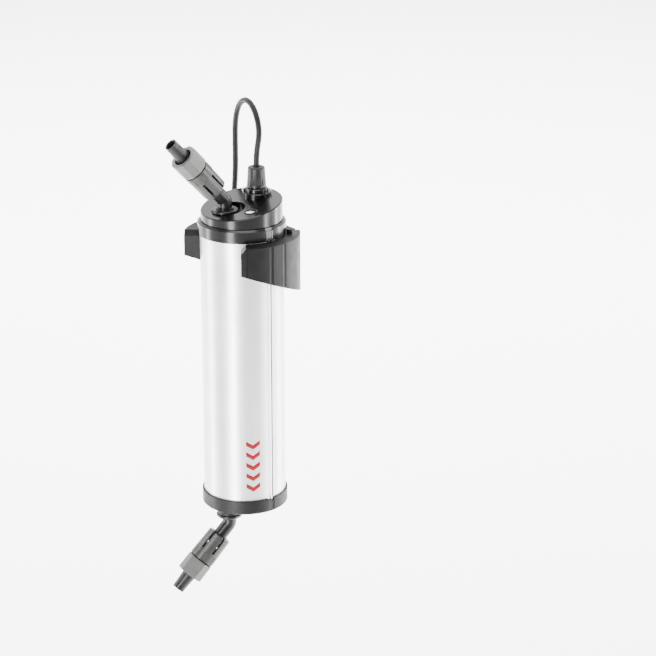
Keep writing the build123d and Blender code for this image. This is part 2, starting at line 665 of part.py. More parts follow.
def lamp_leads():
    """Two insulated wires from the ballast to the socket."""
    z = SLEEVE_TOP + 17.0 + 4.5
    with BuildPart() as leads:
        for y in (SLEEVE_Y - 4.0, SLEEVE_Y + 4.0):
            with BuildLine() as path:
                Line((BOARD_X + BOARD_T, AXIS_Y + y, z), (-17.0, AXIS_Y + y, z))
            with BuildSketch(Plane(origin=path.line @ 0, z_dir=path.line % 0)):
                Circle(0.8)
            sweep(path=path.line)
    return leads.part


def sleeve_spider():
    """Three-armed guide that centres the lower end of the quartz sleeve."""
    z = SLEEVE_TOP - SLEEVE_LEN + 14.0
    with BuildPart() as spider:
        with BuildSketch(level(z, y=SLEEVE_Y)):
            Circle(SLEEVE_R + SEAT + 1.6)
            Circle(SLEEVE_R + SEAT, mode=Mode.SUBTRACT)
        extrude(amount=6.0)
        liner_r = BORE_R - SEAT - LINER_T - GAP
        for angle in (90.0, 0.0, 180.0):
            dx, dy = cos(radians(angle)), sin(radians(angle))
            reach = -SLEEVE_Y * dy + sqrt(liner_r**2 - (SLEEVE_Y * dx) ** 2) - 0.4
            start = SLEEVE_R + SEAT + 1.0
            with BuildSketch(level(z, x=dx * (start + reach) / 2, y=SLEEVE_Y + dy * (start + reach) / 2)):
                Rectangle(reach - start, 2.4, rotation=angle)
            extrude(amount=6.0)
    return spider.part


save(quartz_sleeve(), "quartz_sleeve")
save(
    o_ring_part(
        level(SLEEVE_TOP - SLEEVE_LIP_T - SLEEVE_SEAL_R, y=SLEEVE_Y),
        SLEEVE_R + SLEEVE_SEAL_R + 0.2,
        SLEEVE_SEAL_R - 0.03,
    ),
    "sleeve_o_ring",
)
save(
    ring_part(SLEEVE_TOP, SLEEVE_R - 0.6, SLEEVE_R + SLEEVE_LIP_W, 3.0, y=SLEEVE_Y),
    "sleeve_nut",
)
save(lamp_tubes(), "lamp_tubes")
save(lamp_base(), "lamp_base")
save(lamp_pins(), "lamp_pins")
save(lamp_socket(), "lamp_socket")
save(ballast_board(), "ballast_board")
save(ballast_parts(), "ballast_parts")
save(lamp_leads(), "lamp_leads")
save(sleeve_spider(), "sleeve_spider")
save(board_screws(), "board_screws")


# ============================================================== swivel elbows and couplings
def port_plane(z, up, turn):
    """Port frame: +Z leaves the housing, +Y is the way that the elbow leans at rest."""
    angle = radians(-90.0 + turn)
    lean = Vector(cos(angle), sin(angle), 0)
    out = Vector(0, 0, 1 if up else -1)
    return Plane(origin=(PORT_X, AXIS_Y + PORT_Y, z), x_dir=lean.cross(out), z_dir=out)


BEND = Plane(
    origin=(0, 0, BEND_RISE),
    x_dir=(1, 0, 0),
    z_dir=(0, sin(radians(BEND_ANGLE)), cos(radians(BEND_ANGLE))),
)
NUT_START = COLLET_START + COLLET_LEN + NUT_GAP
NUT_END = NUT_START + NUT_LEN
MOUTH = NUT_END + NOZZLE_OUT
PIPE_END = COLLET_START + 12.0


def elbow():
    with BuildPart() as body:
        with BuildLine() as path:
            FilletPolyline(
                (0, 0, -SHAFT_DEPTH - 3.0),
                (0, 0, BEND_RISE),
                BEND.from_local_coords(Vector(0, 0, PIPE_END)),
                radius=BEND_R,
            )
        with BuildSketch(Plane(origin=(0, 0, -SHAFT_DEPTH - 3.0))):
            Circle(PIPE_R)
        sweep(path=path.line)
        with BuildSketch(Plane(origin=(0, 0, GAP))):
            Circle(FLANGE_R)
        extrude(amount=FLANGE_T)
        chamfer(body.edges().filter_by(GeomType.CIRCLE).group_by(SortBy.RADIUS)[-1], 0.7)
        with BuildSketch(Plane(origin=(0, 0, GAP + FLANGE_T))):
            Circle(PIPE_R + 1.6)
        extrude(amount=1.6)
        with BuildSketch(Plane(origin=(0, 0, GAP))):
            Circle(SHAFT_R)
        extrude(amount=-(SHAFT_DEPTH + 3.0 + GAP))
        for z, width, depth in ((-7.0, 1.9, 1.8), (-SHAFT_DEPTH - 1.7, 1.2, 0.9)):
            with BuildSketch(Plane(origin=(0, 0, z))):
                Circle(SHAFT_R)
                Circle(SHAFT_R - depth, mode=Mode.SUBTRACT)
            extrude(amount=width, mode=Mode.SUBTRACT)
        with BuildSketch(Plane(origin=(0, 0, -SHAFT_DEPTH - 3.0))):
            Circle(PIPE_BORE_R)
        sweep(path=path.line, mode=Mode.SUBTRACT)
    return body.part


def retaining_clip():
    with BuildPart() as clip:
        with BuildSketch(Plane(origin=(0, 0, -SHAFT_DEPTH - 1.6))):
            Circle(SHAFT_R + 1.8)
            Circle(SHAFT_R - 0.85, mode=Mode.SUBTRACT)
            with Locations((0, SHAFT_R)):
                Rectangle(5.0, 5.0, mode=Mode.SUBTRACT)
        extrude(amount=1.0)
    return clip.part


def collet_sleeve(turn):
    """Slotted quick-coupling body, threaded at the nut's end, turned about its own axis."""
    end = COLLET_START + COLLET_LEN
    with BuildPart() as collet:
        with BuildSketch(BEND.offset(COLLET_START)):
            Circle(COLLET_R0)
        with BuildSketch(BEND.offset(end)):
            Circle(COLLET_R1)
        loft()
        chamfer(collet.edges().filter_by(GeomType.CIRCLE).sort_by(SortBy.RADIUS)[0], 0.8)
        with BuildSketch(BEND.offset(end)):
            Circle(THREAD_R)
        extrude(amount=THREAD_LEN)
        with BuildSketch(BEND.offset(COLLET_START)):
            Circle(PIPE_R + 2.6)
        extrude(amount=SLOT_LEN - 6.0, mode=Mode.SUBTRACT)
        with BuildSketch(BEND.offset(COLLET_START)):
            Circle(PIPE_R + SEAT)
        extrude(amount=PIPE_END - COLLET_START + GAP, mode=Mode.SUBTRACT)
        with BuildSketch(BEND.offset(COLLET_START)):
            Circle(PIPE_BORE_R)
        extrude(amount=COLLET_LEN + THREAD_LEN, mode=Mode.SUBTRACT)
        # slots open at the elbow's end
        with BuildSketch(BEND.offset(COLLET_START)):
            with PolarLocations(COLLET_R0 - 1.4, SLOT_COUNT, start_angle=30 + turn):
                Rectangle(4.4, SLOT_W)
        extrude(amount=SLOT_LEN, mode=Mode.SUBTRACT)
        # raised grip pads by the nut
        with BuildSketch(BEND.offset(end - 9.5)):
            with PolarLocations(COLLET_R1 - 0.6, SLOT_COUNT, start_angle=turn):
                RectangleRounded(1.9, 4.6, 0.5)
        extrude(amount=8.0)
    return collet.part


def union_nut():
    with BuildPart() as nut:
        with BuildSketch(BEND.offset(NUT_START)):
            RegularPolygon(NUT_FLAT, NUT_SIDES, major_radius=False)
        extrude(amount=NUT_LEN)
        with BuildSketch(BEND.offset(NUT_START)):
            Circle(THREAD_R + 0.1)
        extrude(amount=THREAD_LEN, mode=Mode.SUBTRACT)
        with BuildSketch(BEND.offset(NUT_START)):
            Circle(NUT_MOUTH_R)
        extrude(amount=NUT_LEN, mode=Mode.SUBTRACT)
    return nut.part


def nozzle():
    """Hose nozzle: a flange clamped on the collet's end, and a spigot that tapers to a plain land."""
    foot = COLLET_START + COLLET_LEN + THREAD_LEN
    with BuildPart() as spigot:
        with BuildSketch(BEND.offset(foot)):
            Circle(NUT_MOUTH_R - GAP)
        extrude(amount=2.2)
        with BuildSketch(BEND.offset(foot + 2.2)):
            Circle(NOZZLE_R0)
        with BuildSketch(BEND.offset(MOUTH - NOZZLE_LAND)):
            Circle(NOZZLE_R1)
        loft()
        with BuildSketch(BEND.offset(MOUTH - NOZZLE_LAND)):
            Circle(NOZZLE_R1)
        extrude(amount=NOZZLE_LAND)
        with BuildSketch(BEND.offset(foot)):
            Circle(NOZZLE_BORE_R)
        extrude(amount=MOUTH - foot, mode=Mode.SUBTRACT)
        chamfer(spigot.faces().sort_by(BEND_AXIS)[-1].inner_wires()[0].edges(), 0.7)
    return spigot.part


BEND_AXIS = Axis(BEND.origin, BEND.z_dir)
COUPLING = {
    "elbow": elbow(),
    "shaft_o_ring": o_ring_part(Plane(origin=(0, 0, -6.05)), SHAFT_R - 0.92, 0.86),
    "retaining_clip": retaining_clip(),
    "coupling_o_ring": o_ring_part(
        BEND.offset(COLLET_START + COLLET_LEN + NUT_GAP / 2), THREAD_R + 0.75, 0.5
    ),
    "union_nut": union_nut(),
    "nozzle": nozzle(),
}
PORTS = {
    "inlet": port_plane(RECESS_Z, True, INLET_TURN),
    "outlet": port_plane(BOSS_Z, False, OUTLET_TURN),
}
for side, port in PORTS.items():
    pieces = COUPLING | {"collet_sleeve": collet_sleeve(COLLET_TURNS[side])}
    for name, piece in pieces.items():
        save(piece.moved(port.location), f"{side}_{name}")


# ============================================================== mains cord
# The cord leaves the gland upright, arches over behind the head and hangs between the housing's
# back and the wall, where the rest of it is folded into a tied hank with the plug below.
CORD_START = (GLAND_X, AXIS_Y + GLAND_Y, CORD_Z)
CORD_ROUTE = [
    CORD_START,
    (-3.5, -26.7, 107.5),
    (-0.8, -23.8, 129.5),
    (-11.5, -20.8, 148.5),
    (-31.4, -15.0, 156.0),
    (-51.3, -9.8, 148.5),
    (-61.9, -7.5, 129.0),
    (-62.8, -7.2, 104.0),
    (-61.6, -8.0, 79.0),
    (-62.0, -9.6, 54.0),
    (-63.4, -10.6, 29.0),
    (-64.4, -12.0, 4.0),
    (-66.0, -13.6, -20.0),
    (-66.0, -13.6, -43.0),
]
HANK_X, HANK_Y, HANK_Z = CORD_ROUTE[-1]
HANK_LEN, HANK_W, HANK_T = 122.0, 56.0, 20.0
TIE_T, TIE_H = 0.8, 9.0
TAIL_LEN = 12.0
RELIEF_LEN, RELIEF_R = 28.0, 5.2
PLUG_W, PLUG_T, PLUG_LEN = 36.0, 26.0, 34.0
PIN_R, PIN_LEN, PIN_PITCH = 2.4, 19.0, 19.0


def corner_radii(route):
    """The largest even arc at each corner of a route: 0.45 of its shorter run over tan(half turn)."""
    radii = []
    for before, here, after in zip(route, route[1:], route[2:]):
        run_in, run_out = Vector(*here) - Vector(*before), Vector(*after) - Vector(*here)
        turn = radians(run_in.get_angle(run_out))
        radii.append(0.45 * min(run_in.length, run_out.length) / tan(turn / 2))
    return radii


def cord_part(route):
    """A round cord along straight runs joined by tangent arcs."""
    with BuildPart() as cord:
        with BuildLine() as path:
            FilletPolyline(*route, radius=corner_radii(route))
        with BuildSketch(Plane(origin=path.line @ 0, z_dir=path.line % 0)):
            Circle(CORD_R)
        sweep(path=path.line)
    length = path.wire().length
    share = cord.part.volume / (pi * CORD_R**2 * length)
    print("cord radii", [round(r, 1) for r in corner_radii(route)])
    print("cord length", round(length, 1), "volume share", round(share, 4))
    return cord.part


def upright_bar(z, width, depth, corner, height):
    """A rounded bar standing on height z in line with the hank."""
    with BuildSketch(Plane(origin=(HANK_X, HANK_Y, z))) as base:
        RectangleRounded(width, depth, corner)
    extrude(base.sketch, amount=height)


def cord_hank():
    with BuildPart() as hank:
        upright_bar(HANK_Z - HANK_LEN, HANK_W, HANK_T, HANK_T * 0.45, HANK_LEN)
    return hank.part


def cord_tie():
    with BuildPart() as tie:
        with BuildSketch(Plane(origin=(HANK_X, HANK_Y, HANK_Z - (HANK_LEN + TIE_H) / 2))):
            RectangleRounded(HANK_W + 2 * TIE_T, HANK_T + 2 * TIE_T, HANK_T * 0.45 + TIE_T)
            RectangleRounded(HANK_W, HANK_T, HANK_T * 0.45, mode=Mode.SUBTRACT)
        extrude(amount=TIE_H)
    return tie.part


TAIL_Z = HANK_Z - HANK_LEN - TAIL_LEN
PLUG_TOP = TAIL_Z - RELIEF_LEN
PLUG_Z = PLUG_TOP - PLUG_LEN


def cord_tail():
    with BuildPart() as tail:
        with BuildSketch(Plane(origin=(HANK_X, HANK_Y, TAIL_Z))):
            Circle(CORD_R)
        extrude(amount=TAIL_LEN)
    return tail.part


def plug_strain_relief():
    with BuildPart() as relief:
        with BuildSketch(Plane(origin=(HANK_X, HANK_Y, PLUG_TOP))):
            Circle(RELIEF_R)
        with BuildSketch(Plane(origin=(HANK_X, HANK_Y, TAIL_Z))):
            Circle(CORD_R + 0.8)
        loft()
    return relief.part


def plug_body():
    with BuildPart() as body:
        upright_bar(PLUG_Z, PLUG_W, PLUG_T, PLUG_T * 0.48, PLUG_LEN * 0.7)
        with BuildSketch(Plane(origin=(HANK_X, HANK_Y, PLUG_Z + PLUG_LEN * 0.7))):
            RectangleRounded(PLUG_W, PLUG_T, PLUG_T * 0.48)
        with BuildSketch(Plane(origin=(HANK_X, HANK_Y, PLUG_TOP))):
            RectangleRounded(PLUG_W * 0.55, PLUG_T * 0.6, PLUG_T * 0.28)
        loft()
    return body.part


def plug_pins():
    with BuildPart() as pins:
        with BuildSketch(Plane(origin=(HANK_X, HANK_Y, PLUG_Z))):
            with GridLocations(PIN_PITCH, 1, 2, 1):
                Circle(PIN_R)
        extrude(amount=-PIN_LEN)
        fillet(pins.faces().group_by(Axis.Z)[0].edges(), 1.6)
    return pins.part


save(cord_part(CORD_ROUTE), "power_cord")
save(cord_hank(), "cord_hank")
save(cord_tie(), "cord_tie")
save(cord_tail(), "cord_tail")
save(plug_strain_relief(), "plug_strain_relief")
save(plug_body(), "plug_body")
save(plug_pins(), "plug_pins")
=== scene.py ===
"""Gives the inline uv clarifier its finishes, its mains lead and its studio.

Laid out as an add-on: one operator for each piece or group of like pieces, and one for the stage.
Units are metres, +Z is up and +Y points into the wall that the bracket is screwed to.
"""

from math import cos, pi, radians, sin

import bmesh
import bpy
from bpy.props import FloatProperty, FloatVectorProperty, PointerProperty
from mathutils import Matrix, Vector


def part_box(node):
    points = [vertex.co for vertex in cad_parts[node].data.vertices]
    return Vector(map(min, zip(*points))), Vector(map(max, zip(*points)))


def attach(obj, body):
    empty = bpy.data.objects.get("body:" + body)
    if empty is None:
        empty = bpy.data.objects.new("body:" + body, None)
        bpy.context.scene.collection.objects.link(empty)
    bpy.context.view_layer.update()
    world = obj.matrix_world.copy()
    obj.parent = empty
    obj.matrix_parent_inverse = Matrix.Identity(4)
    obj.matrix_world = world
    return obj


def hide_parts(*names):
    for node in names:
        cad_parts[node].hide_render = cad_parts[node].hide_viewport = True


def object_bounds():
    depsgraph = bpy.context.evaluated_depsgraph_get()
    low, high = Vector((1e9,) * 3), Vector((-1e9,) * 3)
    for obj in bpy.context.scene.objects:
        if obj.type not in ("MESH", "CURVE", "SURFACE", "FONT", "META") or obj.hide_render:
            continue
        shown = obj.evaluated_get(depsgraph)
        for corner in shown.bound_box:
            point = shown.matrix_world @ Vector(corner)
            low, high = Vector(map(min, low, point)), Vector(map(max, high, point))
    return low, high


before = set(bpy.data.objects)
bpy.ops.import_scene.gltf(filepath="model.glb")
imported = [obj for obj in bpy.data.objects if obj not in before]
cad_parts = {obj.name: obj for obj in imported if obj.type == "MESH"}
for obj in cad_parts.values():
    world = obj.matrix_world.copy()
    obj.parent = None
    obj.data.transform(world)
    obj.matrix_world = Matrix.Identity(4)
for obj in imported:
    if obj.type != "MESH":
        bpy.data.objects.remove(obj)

bl_info = {
    "name": "UV Clarifier",
    "version": (1, 0, 0),
    "blender": (4, 5, 0),
    "location": "View3D > Sidebar > Clarifier",
    "description": "Finishes, mains lead and studio for an inline uv clarifier",
    "category": "Object",
}

MM = 0.001
CAD_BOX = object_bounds()
# A point on the housing tube's upright axis, and the tube's outside radius.
HOUSING_AXIS = Vector((0.0, -0.0487, 0.0))
TUBE_RADIUS = 0.042

# Tall strip lights round the object: name, turn to the camera's right, width and power.
STRIPS = (
    ("left strip", radians(-28), 0.34, 60),
    ("right strip", radians(73), 0.24, 40),
    ("far right strip", radians(115), 0.24, 34),
    ("left edge strip", radians(-95), 0.30, 34),
)
STRIP_DISTANCE, STRIP_HEIGHT, STRIP_LENGTH = 1.5, -0.2, 2.2
FLOOR_HALF_SIZE, FLOOR_DROP = 15.0, 1.0

# The free stretch of the lead: up out of the gland, over behind the head, down beside the housing.
LEAD_ROUTE = [
    (-0.0035, -0.0267, 0.0944),
    (-0.0035, -0.0267, 0.1075),
    (-0.0008, -0.0238, 0.1295),
    (-0.0115, -0.0208, 0.1485),
    (-0.0314, -0.0150, 0.1560),
    (-0.0513, -0.0098, 0.1485),
    (-0.0619, -0.0075, 0.1290),
    (-0.0628, -0.0072, 0.1040),
    (-0.0616, -0.0080, 0.0790),
    (-0.0620, -0.0096, 0.0540),
    (-0.0634, -0.0106, 0.0290),
    (-0.0644, -0.0120, 0.0040),
    (-0.0660, -0.0136, -0.0200),
    (-0.0660, -0.0136, -0.0430),
]


# ------------------------------------------------------------------ colour and nodes
def linear(hex_value):
    """An sRGB hex colour as linear red, green, blue and alpha."""
    parts = [int(hex_value[i : i + 2], 16) / 255 for i in (1, 3, 5)]
    return [c / 12.92 if c <= 0.04045 else ((c + 0.055) / 1.055) ** 2.4 for c in parts] + [1.0]


def add_node(tree, kind, settings=None, **links):
    """Adds a node with its properties and socket values, and links its named inputs."""
    node = tree.nodes.new(kind)
    for key, value in (settings or {}).items():
        if isinstance(key, int) or key in node.inputs:
            node.inputs[key].default_value = value
        else:
            setattr(node, key, value)
    for key, source in links.items():
        socket = node.inputs[int(key[1:])] if key[0] == "i" and key[1:].isdigit() else node.inputs[key]
        tree.links.new(source, socket)
    return node


def new_material(name, **shader):
    """A node material with a Principled shader, and its tree and shader."""
    material = bpy.data.materials.new(name)
    material.use_nodes = True
    tree = material.node_tree
    bsdf = tree.nodes["Principled BSDF"]
    for key, value in shader.items():
        bsdf.inputs[key.replace("_", " ")].default_value = value
    return material, tree, bsdf


def wire(tree, bsdf, **sources):
    """Links sources to the shader's inputs, where Base_Color stands for Base Color."""
    for key, source in sources.items():
        tree.links.new(source, bsdf.inputs[key.replace("_", " ")])


def object_coords(tree, stretch=(1, 1, 1)):
    """Object coordinates, scaled, as a Mapping node's output."""
    coords = add_node(tree, "ShaderNodeTexCoord")
    return add_node(
        tree, "ShaderNodeMapping", {"Scale": stretch}, Vector=coords.outputs["Object"]
    ).outputs["Vector"]


def noise(tree, size_mm, stretch=(1, 1, 1), detail=3.0):
    """Noise whose features are size_mm across, longer along an axis whose stretch is under 1."""
    return add_node(
        tree,
        "ShaderNodeTexNoise",
        {"Scale": 1 / (size_mm * MM), "Detail": detail, "Roughness": 0.5},
        Vector=object_coords(tree, stretch),
    ).outputs["Fac"]


def spread(tree, value, low, high, start=0.3, end=0.7):
    """Maps a noise value to a range."""
    return add_node(
        tree,
        "ShaderNodeMapRange",
        {"From Min": start, "From Max": end, "To Min": low, "To Max": high},
        Value=value,
    ).outputs["Result"]


def bump(tree, height, depth_mm):
    """A normal that follows a height, depth_mm deep."""
    return add_node(
        tree, "ShaderNodeBump", {"Strength": 1.0, "Distance": depth_mm * MM}, Height=height
    ).outputs["Normal"]


def tint(tree, value, dark, light):
    """A colour between two, by a noise value."""
    return add_node(
        tree, "ShaderNodeMix", {"data_type": "RGBA", 6: dark, 7: light}, i0=value
    ).outputs[2]


# ------------------------------------------------------------------ materials
def anodised_aluminium():
    """Extruded aluminium, satin anodised: soft vertical glints from the die, almost white."""
    material, tree, bsdf = new_material("anodised_aluminium", Metallic=0.82)
    die = noise(tree, 1.1, (1, 1, 0.012), 4.0)
    cloud = noise(tree, 28.0)
    wire(
        tree,
        bsdf,
        Base_Color=tint(tree, spread(tree, cloud, 0.0, 1.0), linear("#dcdcda"), linear("#e8e8e6")),
        Roughness=spread(tree, die, 0.30, 0.42),
        Normal=bump(tree, die, 0.012),
    )
    return material


def moulded(name, dark, light, rough, grain_mm, depth_mm, specular=0.5):
    """Injection-moulded plastic: a fine even grain, with cloudy gloss where it left the mould."""
    material, tree, bsdf = new_material(name, Specular_IOR_Level=specular)
    grain = noise(tree, grain_mm, detail=2.0)
    cloud = noise(tree, 14.0, detail=4.0)
    wire(
        tree,
        bsdf,
        Base_Color=tint(tree, spread(tree, cloud, 0.0, 1.0), linear(dark), linear(light)),
        Roughness=spread(tree, cloud, rough * 0.88, rough * 1.14),
        Normal=bump(tree, grain, depth_mm),
    )
    return material


def rubber():
    """Black nitrile rubber: matt, faintly bloomed."""
    return moulded("nitrile_rubber", "#0d0d0d", "#181817", 0.68, 0.6, 0.02)


def polished_steel():
    """Turned stainless steel: bright, with fine rings of tool marks."""
    material, tree, bsdf = new_material("stainless_steel", Metallic=1.0)
    marks = noise(tree, 0.9, (1, 1, 6), 3.0)
    wire(
        tree,
        bsdf,
        Base_Color=tint(tree, marks, linear("#b9b9b6"), linear("#d6d6d3")),
        Roughness=spread(tree, marks, 0.18, 0.32),
    )
    return material


def turned_brass():
    """Turned brass: warm and bright, slightly dulled."""
    material, tree, bsdf = new_material("turned_brass", Metallic=1.0)
    dull = noise(tree, 2.0)
    wire(
        tree,
        bsdf,
        Base_Color=tint(tree, dull, linear("#b08d4a"), linear("#d3b268")),
        Roughness=spread(tree, dull, 0.2, 0.36),
    )
    return material


def fused_quartz():
    """Fused quartz tube: clear, with faint drawing lines along it."""
    material, tree, bsdf = new_material(
        "fused_quartz", IOR=1.46, Roughness=0.02, Transmission_Weight=1.0
    )
    lines = noise(tree, 3.0, (1, 1, 0.02))
    wire(tree, bsdf, Normal=bump(tree, lines, 0.01))
    return material


def opal_window():
    """Opal polycarbonate: milky white and slightly glossy, lit from inside in use."""
    material, tree, bsdf = new_material(
        "opal_polycarbonate",
        IOR=1.58,
        Subsurface_Weight=0.3,
        Subsurface_Scale=0.002,
        Subsurface_Radius=(1.0, 1.0, 1.0),
    )
    cloud = noise(tree, 3.0)
    wire(
        tree,
        bsdf,
        Base_Color=tint(tree, cloud, linear("#eef0f0"), linear("#fbfcfc")),
        Roughness=spread(tree, cloud, 0.18, 0.28),
    )
    return material


def lamp_glass():
    """Soft quartz lamp tube: clear, with a faint bluish-grey bloom in patches along it."""
    material, tree, bsdf = new_material(
        "lamp_glass", IOR=1.5, Roughness=0.05, Transmission_Weight=0.85
    )
    bloom = noise(tree, 9.0)
    wire(tree, bsdf, Base_Color=tint(tree, bloom, linear("#dfe6ee"), linear("#f4f7fb")))
    return material


def mirror_liner():
    """Bright-rolled aluminium sheet: almost a mirror, with faint roll lines round it."""
    material, tree, bsdf = new_material("bright_rolled_sheet", Metallic=1.0)
    lines = noise(tree, 1.5, (0.05, 0.05, 1))
    wire(
        tree,
        bsdf,
        Base_Color=tint(tree, lines, linear("#dadbdb"), linear("#eceded")),
        Roughness=spread(tree, lines, 0.05, 0.12),
    )
    return material


def pvc_sheath():
    """Extruded PVC flex: satin black, with the faint drag lines of extrusion and a dusty bloom."""
    material, tree, bsdf = new_material("pvc_sheath", Specular_IOR_Level=0.3)
    bloom = noise(tree, 11.0, detail=4.0)
    grain = noise(tree, 0.7, (1, 1, 0.3))
    wire(
        tree,
        bsdf,
        Base_Color=tint(tree, spread(tree, bloom, 0.0, 1.0), linear("#040404"), linear("#080808")),
        Roughness=spread(tree, bloom, 0.42, 0.56),
        Normal=bump(tree, grain, 0.02),
    )
    return material


def woven_strap():
    """Hook-and-loop strap: black nylon looped pile, dull and slightly fuzzy."""
    material, tree, bsdf = new_material("nylon_strap", Roughness=0.85, Sheen_Weight=0.35)
    weave = add_node(
        tree, "ShaderNodeTexVoronoi", {"Scale": 1 / (0.9 * MM)}, Vector=object_coords(tree)
    ).outputs["Distance"]
    wire(
        tree,
        bsdf,
        Base_Color=tint(tree, weave, linear("#101011"), linear("#29292b")),
        Normal=bump(tree, weave, 0.15),
    )
    return material


def circuit_board():
    """Glass-fibre circuit board under green lacquer."""
    material, tree, bsdf = new_material("lacquered_board", Roughness=0.35)
    tracks = add_node(
        tree,
        "ShaderNodeTexBrick",
        {
            "Scale": 1 / (9.0 * MM),
            "Color1": linear("#1d5a38"),
            "Color2": linear("#23663f"),
            "Mortar": linear("#2f7a4d"),
        },
        Vector=object_coords(tree),
    ).outputs["Color"]
    wire(tree, bsdf, Base_Color=tracks)
    return material


def red_ink():
    """Screen-printed ink: flat red with slightly uneven cover."""
    material, tree, bsdf = new_material("printed_ink", Roughness=0.6, Specular_IOR_Level=0.2)
    cover = noise(tree, 1.2)
    wire(tree, bsdf, Base_Color=tint(tree, cover, linear("#7d0008"), linear("#8a040d")))
    return material


def dress(node, material):
    """Puts a material on one of the frame's nodes."""
    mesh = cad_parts[node].data
    mesh.materials.clear()
    mesh.materials.append(material)


# ------------------------------------------------------------------ making pieces
def piece_from(bm, name, body, material):
    """Makes a bmesh a smooth object that rides on a body."""
    mesh = bpy.data.meshes.new(name)
    bm.to_mesh(mesh)
    bm.free()
    for face in mesh.polygons:
        face.use_smooth = True
    mesh.materials.append(material)
    obj = bpy.data.objects.new(name, mesh)
    bpy.context.scene.collection.objects.link(obj)
    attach(obj, body)
    return obj


# ------------------------------------------------------------------ settings
class CLARIFIER_PG_sizes(bpy.types.PropertyGroup):
    """Sizes that a user would change."""

    lead_diameter: FloatProperty(
        name="Lead diameter", description="Outside of the mains flex", default=0.006, unit="LENGTH"
    )
    hank_pitch: FloatProperty(
        name="Hank pitch", description="Between neighbouring turns of the hank", default=0.0063,
        unit="LENGTH",
    )
    mark_height: FloatProperty(
        name="Flow mark height", description="Height of the printed column of chevrons", default=0.058,
        unit="LENGTH",
    )
    mark_width: FloatProperty(
        name="Flow mark width", description="Width of the printed chevrons", default=0.0145, unit="LENGTH"
    )


class CLARIFIER_PG_colours(bpy.types.PropertyGroup):
    """Colours that a user would change."""

    floor: FloatVectorProperty(
        name="Floor", description="The studio's floor", subtype="COLOR", size=4, default=linear("#f4f4f3")
    )


class CLARIFIER_PG_stage(bpy.types.PropertyGroup):
    """Camera and light."""

    azimuth: FloatProperty(
        name="Azimuth", description="Camera's turn round the object", default=radians(50.1), subtype="ANGLE"
    )
    elevation: FloatProperty(
        name="Elevation", description="Camera's height above the horizon", default=radians(19.7),
        subtype="ANGLE",
    )
    distance: FloatProperty(
        name="Distance", description="Camera to the aimed point", default=2.4, unit="LENGTH"
    )
    aside: FloatProperty(
        name="Aside", description="Aimed point's distance to the right of the housing", default=0.0861,
        unit="LENGTH",
    )
    aim_height: FloatProperty(
        name="Aim height", description="Height of the aimed point", default=-0.0709, unit="LENGTH"
    )
    lens: FloatProperty(name="Lens", description="Focal length in millimetres", default=129.9)


# ------------------------------------------------------------------ operators
class CLARIFIER_OT_housing(bpy.types.Operator):
    """Finish the housing tube, bottom cap and what is inside them"""

    bl_idname = "clarifier.housing"
    bl_label = "Housing"

    def execute(self, context):
        aluminium = anodised_aluminium()
        for node in ("housing_tube", "bayonet_lugs"):
            dress(node, aluminium)
        satin = moulded("satin_abs", "#050505", "#090909", 0.46, 0.5, 0.012, 0.25)
        for node in ("bottom_cap", "outlet_boss"):
            dress(node, satin)
        dress("reflector_liner", mirror_liner())
        seal = rubber()
        for node in ("bottom_cap_o_ring", "head_o_ring", "duct_gasket", "gland_seal", "sleeve_o_ring"):
            dress(node, seal)
        return {"FINISHED"}


class CLARIFIER_OT_slit_shade_bead(bpy.types.Operator):
    """Lay a thin lipped dark bead over the slit beside the housing's rail: painted shade, a black strip
    standing for the shadow inside the slit
    """

    bl_idname = "clarifier.rail_bead"
    bl_label = "Slit shade bead"

    def execute(self, context):
        foot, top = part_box("bottom_cap")[1].z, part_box("locking_ring")[0].z
        lip_half_width, lip_half_depth = 0.00085, 0.0003
        slit_turn, sunk = radians(4.37), 0.00007
        bead = bmesh.new()
        bmesh.ops.create_circle(bead, cap_ends=True, segments=16, radius=1.0)
        bmesh.ops.scale(bead, verts=bead.verts, vec=(lip_half_depth, lip_half_width, 1.0))
        bmesh.ops.translate(bead, verts=bead.verts, vec=(TUBE_RADIUS - sunk, 0, foot))
        bmesh.ops.rotate(bead, verts=bead.verts, cent=(0, 0, 0), matrix=Matrix.Rotation(slit_turn, 3, "Z"))
        bmesh.ops.translate(bead, verts=bead.verts, vec=HOUSING_AXIS)
        column = bmesh.ops.extrude_face_region(bead, geom=bead.faces)["geom"]
        risen = [item for item in column if isinstance(item, bmesh.types.BMVert)]
        bmesh.ops.translate(bead, verts=risen, vec=(0, 0, top - foot))
        bmesh.ops.recalc_face_normals(bead, faces=bead.faces)
        # painted shade: the bead takes the black rubber finish so that the slit reads as a dark shaded line
        piece_from(bead, "slit_shade_bead", "housing", bpy.data.materials["nitrile_rubber"])
        return {"FINISHED"}


class CLARIFIER_OT_flow_marks(bpy.types.Operator):
    """Print a column of flow chevrons on the front of the housing"""

    bl_idname = "clarifier.flow_marks"
    bl_label = "Flow marks"

    def execute(self, context):
        sizes = context.scene.clarifier_sizes
        count, column_top, towards = 5, -0.178, radians(-26.0)
        inked_share, arm_slope = 0.42, 0.62
        ink, radius = 0.00004, TUBE_RADIUS + 0.00003
        pitch = sizes.mark_height / count
        half_width = sizes.mark_width / 2
        stroke = pitch * inked_share
        marks = bmesh.new()
        for row in range(count):
            top = column_top - row * pitch
            # a strip one unit wide and high about the origin, bent into a V and wrapped on the tube
            grid = bmesh.ops.create_grid(marks, x_segments=12, y_segments=1, size=0.5)
            for vert in grid["verts"]:
                across, up = vert.co.x * sizes.mark_width, (vert.co.y - 0.5) * stroke
                height = top - (half_width - abs(across)) * arm_slope + up
                turn = towards + across / radius
                vert.co = HOUSING_AXIS + Vector((radius * cos(turn), radius * sin(turn), height))
        bmesh.ops.recalc_face_normals(marks, faces=marks.faces)
        bmesh.ops.solidify(marks, geom=marks.faces, thickness=ink)
        piece_from(marks, "flow_marks", "housing", red_ink())
        return {"FINISHED"}


